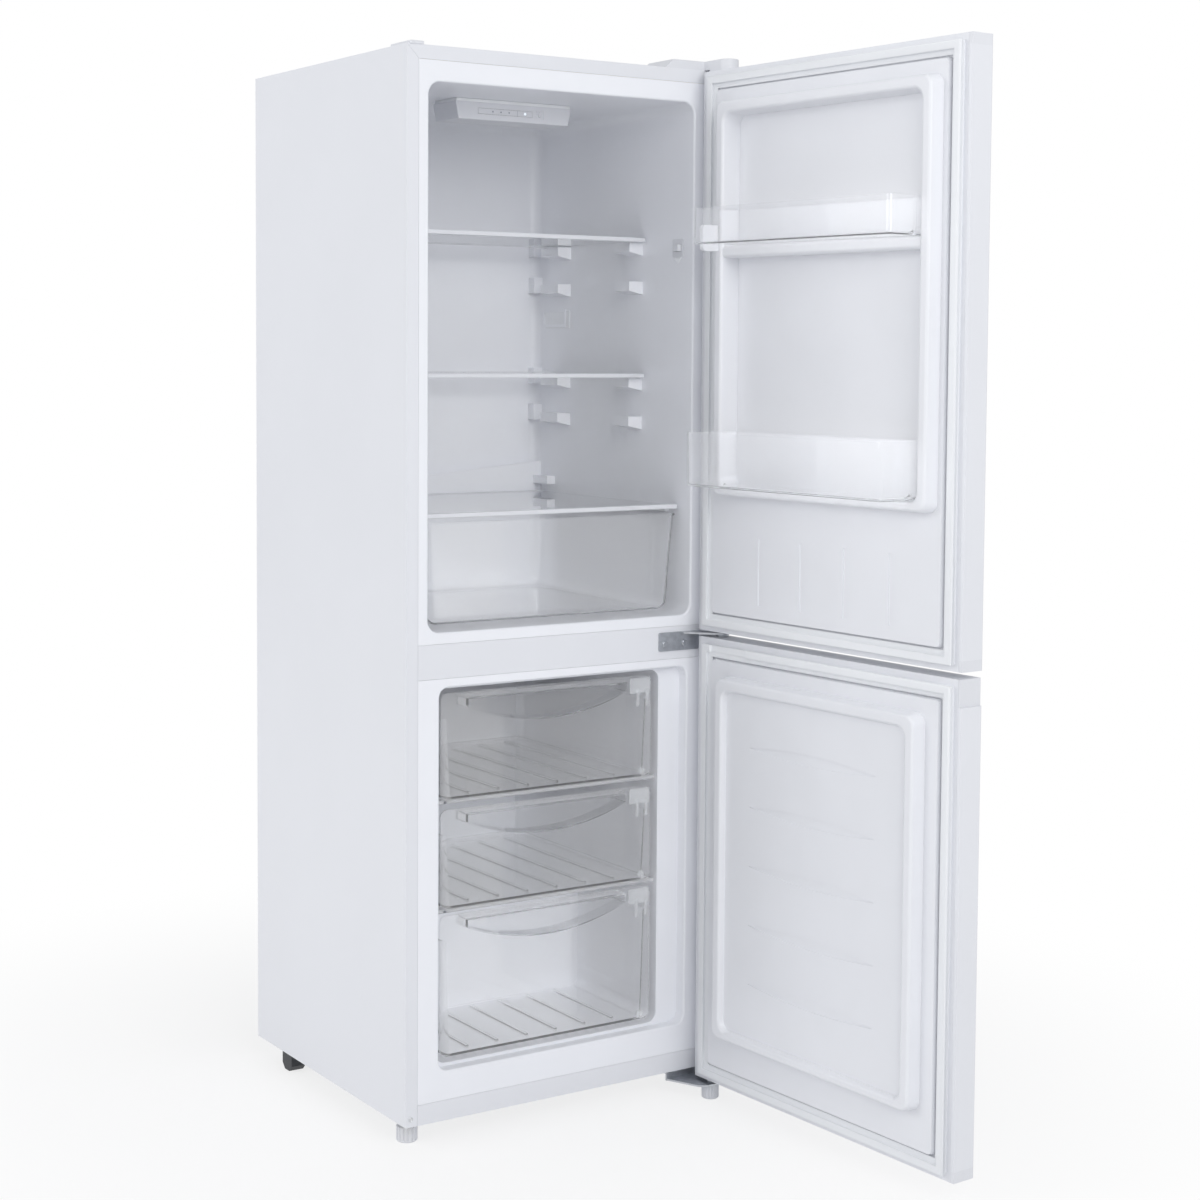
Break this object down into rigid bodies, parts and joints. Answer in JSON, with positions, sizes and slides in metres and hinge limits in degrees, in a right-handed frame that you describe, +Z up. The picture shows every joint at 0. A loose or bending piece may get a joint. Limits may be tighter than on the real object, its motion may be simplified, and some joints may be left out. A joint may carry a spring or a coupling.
{
  "type": "bottom freezer refrigerator",
  "caption": "Tall white refrigerator, fridge above freezer, with right-hinged doors standing open on glass shelves, clear door bins, a crisper and clear freezer drawers.",
  "frame": {"origin": "on the floor, midway between the cabinet's sides, below the plane of its front edge", "axes": "+X to the right seen from the front, +Y towards the back, +Z up"},
  "size_m": [0.5158, 1.0086, 1.434],
  "materials": {
    "painted_steel": "smooth white powder paint with a faint cool tone",
    "zinc_sheet": "bright zinc plate",
    "galvanised_sheet": "dull galvanised steel",
    "liner_plastic": "vacuum-formed white polystyrene, softly glossy",
    "cap_plastic": "moulded white plastic",
    "clear_plastic": "clear polystyrene",
    "shelf_glass": "clear toughened glass with a faint green edge",
    "gasket_vinyl": "soft white vinyl",
    "foam": "rigid insulating foam",
    "dark_plastic": "dark grey moulded plastic",
    "black_enamel": "black enamel",
    "black_rubber": "black rubber",
    "copper": "drawn copper",
    "aluminium": "rolled aluminium",
    "circuit_board": "green laminate"
  },
  "bodies": {
    "cabinet": {"side_panel_left": "painted_steel", "side_panel_right": "painted_steel", "top_panel": "painted_steel", "bottom_rail": "painted_steel", "mid_beam": "painted_steel", "back_panel": "galvanised_sheet", "base_panel": "galvanised_sheet", "cabinet_foam": "foam", "fridge_liner": "liner_plastic", "freezer_liner": "liner_plastic", "corner_cap": "cap_plastic", "freezer_shelves": "shelf_glass", "top_hinge_bracket": "zinc_sheet", "top_hinge_cover": "cap_plastic", "middle_hinge_bracket": "zinc_sheet", "bottom_hinge_bracket": "zinc_sheet", "hinge_pins_and_washers": "zinc_sheet", "hinge_screws": "zinc_sheet", "rear_feet": "dark_plastic", "base_plate": "galvanised_sheet", "compressor_grommets": "black_rubber", "compressor": "black_enamel", "relay_box": "dark_plastic", "evaporation_tray": "dark_plastic", "drain_pipe": "cap_plastic", "condenser_tube": "black_enamel", "condenser_wires": "black_enamel", "condenser_clips": "dark_plastic", "filter_drier": "copper", "evaporators": "aluminium", "control_housing": "cap_plastic", "control_lenses": "clear_plastic", "control_board": "circuit_board", "light_switch_housing": "cap_plastic"},
    "upper_door": {"upper_door_skin": "painted_steel", "upper_door_end_caps": "cap_plastic", "upper_door_foam": "foam", "upper_door_liner": "liner_plastic", "upper_door_gasket": "gasket_vinyl"},
    "lower_door": {"lower_door_skin": "painted_steel", "lower_door_end_caps": "cap_plastic", "lower_door_foam": "foam", "lower_door_liner": "liner_plastic", "lower_door_gasket": "gasket_vinyl"},
    "upper_bin": {"upper_door_bin": "clear_plastic"},
    "lower_bin": {"lower_door_bin": "clear_plastic"},
    "upper_shelf": {"upper_shelf_glass": "shelf_glass", "upper_shelf_trims": "cap_plastic"},
    "middle_shelf": {"middle_shelf_glass": "shelf_glass", "middle_shelf_trims": "cap_plastic"},
    "crisper_cover": {"crisper_cover_glass": "shelf_glass", "crisper_cover_trims": "cap_plastic"},
    "crisper": {"crisper_drawer": "clear_plastic"},
    "top_drawer": {"freezer_drawer_top": "clear_plastic"},
    "middle_drawer": {"freezer_drawer_middle": "clear_plastic"},
    "bottom_drawer": {"freezer_drawer_bottom": "clear_plastic"},
    "button": {"control_button": "cap_plastic"},
    "rocker": {"light_switch_rocker": "cap_plastic"},
    "left_foot": {"front_foot_left": "cap_plastic"},
    "right_foot": {"front_foot_right": "cap_plastic"}
  },
  "joints": [
    {"name": "upper_door_hinge", "type": "hinge", "parent": "cabinet", "child": "upper_door", "pos_m": [0.225, -0.036, 0.65], "axis": [0, 0, 1], "range_deg": [-93.5, 36.5]},
    {"name": "lower_door_hinge", "type": "hinge", "parent": "cabinet", "child": "lower_door", "pos_m": [0.225, -0.036, 0.65], "axis": [0, 0, 1], "range_deg": [-93.5, 36.5]},
    {"name": "upper_bin_lift", "type": "slide", "parent": "upper_door", "child": "upper_bin", "axis": [0, 0, 1], "range_m": [0, 0.018]},
    {"name": "lower_bin_lift", "type": "slide", "parent": "upper_door", "child": "lower_bin", "axis": [0, 0, 1], "range_m": [0, 0.018]},
    {"name": "upper_shelf_slide", "type": "slide", "parent": "cabinet", "child": "upper_shelf", "axis": [0, -1, 0], "range_m": [0, 0.095]},
    {"name": "middle_shelf_slide", "type": "slide", "parent": "cabinet", "child": "middle_shelf", "axis": [0, -1, 0], "range_m": [0, 0.095]},
    {"name": "crisper_cover_slide", "type": "slide", "parent": "cabinet", "child": "crisper_cover", "axis": [0, -1, 0], "range_m": [0, 0.045]},
    {"name": "crisper_slide", "type": "slide", "parent": "cabinet", "child": "crisper", "axis": [0, -1, 0], "range_m": [0, 0.25]},
    {"name": "top_drawer_slide", "type": "slide", "parent": "cabinet", "child": "top_drawer", "axis": [0, -1, 0], "range_m": [0, 0.25]},
    {"name": "middle_drawer_slide", "type": "slide", "parent": "cabinet", "child": "middle_drawer", "axis": [0, -1, 0], "range_m": [0, 0.25]},
    {"name": "bottom_drawer_slide", "type": "slide", "parent": "cabinet", "child": "bottom_drawer", "axis": [0, -1, 0], "range_m": [0, 0.15]},
    {"name": "button_press", "type": "slide", "parent": "cabinet", "child": "button", "axis": [0, 1, 0], "range_m": [0, 0.001], "stiffness_N_per_m": 400},
    {"name": "rocker_press", "type": "slide", "parent": "cabinet", "child": "rocker", "axis": [1, 0, 0], "range_m": [0, 0.005], "stiffness_N_per_m": 400},
    {"name": "left_foot_screw", "type": "slide", "parent": "cabinet", "child": "left_foot", "axis": [0, 0, -1], "range_m": [0, 0.01]},
    {"name": "right_foot_screw", "type": "slide", "parent": "cabinet", "child": "right_foot", "axis": [0, 0, -1], "range_m": [0, 0.01]}
  ]
}
